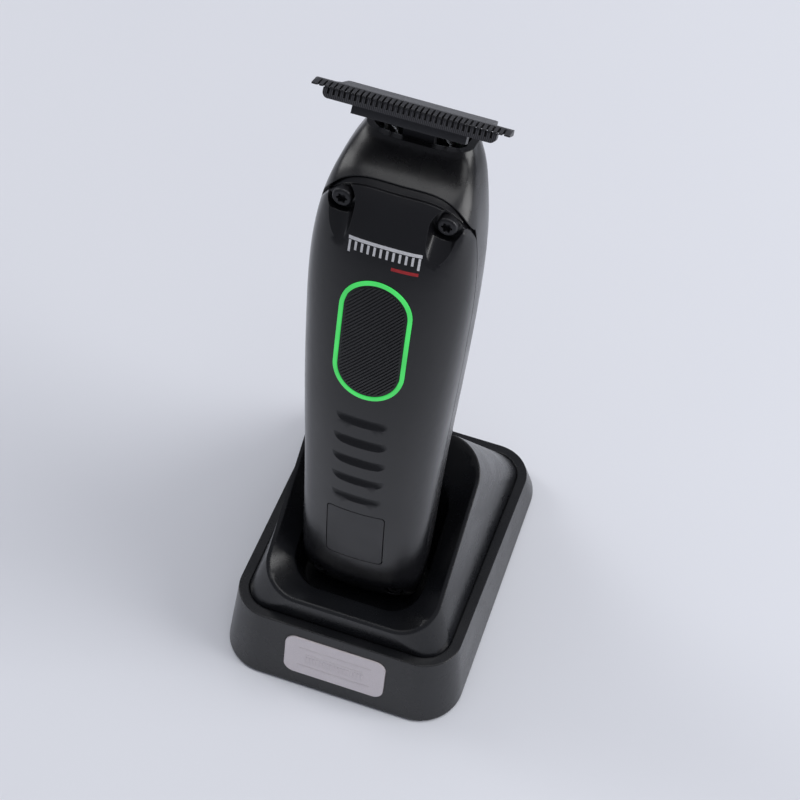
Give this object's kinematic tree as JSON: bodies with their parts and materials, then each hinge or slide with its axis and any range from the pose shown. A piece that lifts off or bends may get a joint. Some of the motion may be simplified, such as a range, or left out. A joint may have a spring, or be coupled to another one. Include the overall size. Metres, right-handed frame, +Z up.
{
  "type": "hair clipper",
  "caption": "Cordless T-blade hair clipper with a lit power button, standing in a sloped charging dock.",
  "frame": {"origin": "under the middle of the dock, on the surface that the dock stands on", "axes": "+X to the right of someone facing the front, +Y away from them, +Z up; the front faces -Y"},
  "size_m": [0.0676, 0.0874, 0.1809],
  "materials": {
    "black_satin": "satin",
    "black_gloss": "gloss",
    "dock_black": "satin",
    "rib_black": "matt",
    "lit_green": "translucent",
    "window_dark": "matt",
    "blade_black": "satin coating",
    "cutter_black": "ground, coated",
    "screw_black": "satin",
    "bright_steel": "polished edge",
    "spring_steel": "drawn",
    "badge_silver": "fine blasted",
    "inner_grey": "moulded",
    "board_green": "lacquered",
    "part_black": "moulded",
    "lamp_white": "gloss",
    "cell_blue": "sleeved",
    "contact_gold": "plated",
    "foot_rubber": "matt"
  },
  "bodies": {
    "dock": {"dock_housing": "dock_black", "dock_cover": "dock_black", "base_plate": "part_black", "rubber_feet": "foot_rubber", "base_screws": "bright_steel", "badge_plate": "badge_silver", "inlet_socket": "bright_steel", "dock_board": "board_green", "pin_guide": "part_black"},
    "clipper": {"rear_housing": "black_satin", "front_cover": "black_gloss", "light_ring": "lit_green", "indicator_window": "window_dark", "upper_screws": "screw_black", "lower_screws": "screw_black", "speed_switch": "part_black", "inner_frame": "inner_grey", "battery_cell": "cell_blue", "motor_can": "bright_steel", "control_board": "board_green", "power_switch": "part_black", "indicator_lights": "lamp_white", "ring_lamps": "lamp_white", "contact_block": "part_black", "charge_contacts": "contact_gold", "fixed_blade": "blade_black", "blade_bracket": "bright_steel", "blade_screws": "screw_black", "tension_spring": "spring_steel"},
    "power_key": {"power_button": "rib_black"},
    "speed_key": {"speed_button": "black_satin"},
    "cutter": {"moving_cutter": "cutter_black", "cutter_carrier": "inner_grey"},
    "eccentric": {"motor_shaft": "spring_steel", "eccentric_cam": "contact_gold"},
    "pins": {"charge_pins": "contact_gold", "pin_springs": "spring_steel"}
  },
  "joints": [
    {"name": "clipper_lift", "type": "slide", "parent": "dock", "child": "clipper", "axis": [0, 0.2419, 0.9703], "range_m": [0, 0.09]},
    {"name": "power_press", "type": "slide", "parent": "clipper", "child": "power_key", "axis": [0, 0.9703, -0.2419], "range_m": [0, 0.0006], "stiffness_N_per_m": 600},
    {"name": "speed_press", "type": "slide", "parent": "clipper", "child": "speed_key", "axis": [1, 0, 0], "range_m": [0, 0.0005], "stiffness_N_per_m": 500},
    {"name": "cutter_stroke", "type": "slide", "parent": "clipper", "child": "cutter", "axis": [1, 0, 0], "range_m": [-0.001, 0.001]},
    {"name": "eccentric_spin", "type": "hinge", "parent": "clipper", "child": "eccentric", "pos_m": [0, 0.01827, 0.13727], "axis": [0, 0.2419, 0.9703], "continuous": true},
    {"name": "pin_press", "type": "slide", "parent": "dock", "child": "pins", "axis": [0, 0.2419, 0.9703], "range_m": [-0.0008, 0], "stiffness_N_per_m": 400}
  ]
}
